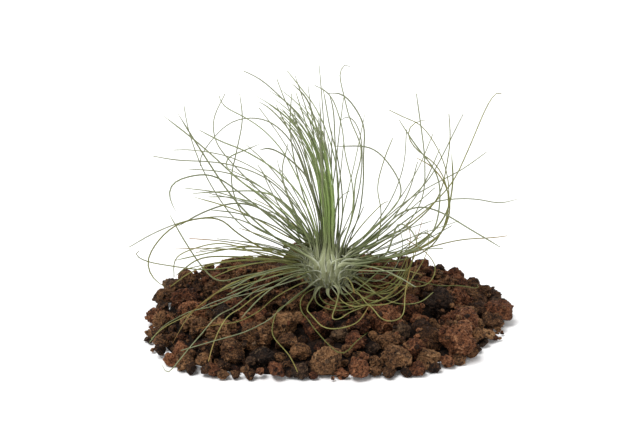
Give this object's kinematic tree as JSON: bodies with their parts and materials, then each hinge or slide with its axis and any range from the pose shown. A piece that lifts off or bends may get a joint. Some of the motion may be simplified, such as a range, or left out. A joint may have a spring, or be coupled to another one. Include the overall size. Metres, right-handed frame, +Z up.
{
  "type": "air plant on lava gravel",
  "caption": "Small air plant with a pale bulb and long arching thread-like leaves, standing on a low flat-bottomed bed of porous red-brown lava gravel.",
  "frame": {"origin": "on the flat underside of the gravel bed, below the middle of the bulb", "axes": "+Z up, away from the surface that the bed lies on; +X to the right along the bed's longer side, with the plant seen from the front; the front is -Y"},
  "size_m": [0.1951, 0.1582, 0.13],
  "materials": {
    "leaf": null,
    "dark_lava": "rough porous dark brown lava rock, matt",
    "red_lava": "rough porous red-brown lava rock, matt",
    "tan_lava": "rough porous pale brown lava rock, matt"
  },
  "bodies": {
    "root": {"rosette": "leaf", "lava_gravel_bed": "dark_lava", "lava_stone_red_front_right": "red_lava", "lava_stone_tan_front": "tan_lava", "lava_stone_tan_small": "tan_lava", "lava_stone_red_block": "red_lava", "lava_stone_porous_front": "tan_lava", "lava_stone_red_front_left": "red_lava", "lava_stone_ochre_left": "tan_lava", "lava_stone_red_left": "red_lava", "lava_stone_red_right_tip": "red_lava", "lava_stone_dark_right": "dark_lava", "lava_stone_back": "red_lava"}
  },
  "joints": []
}
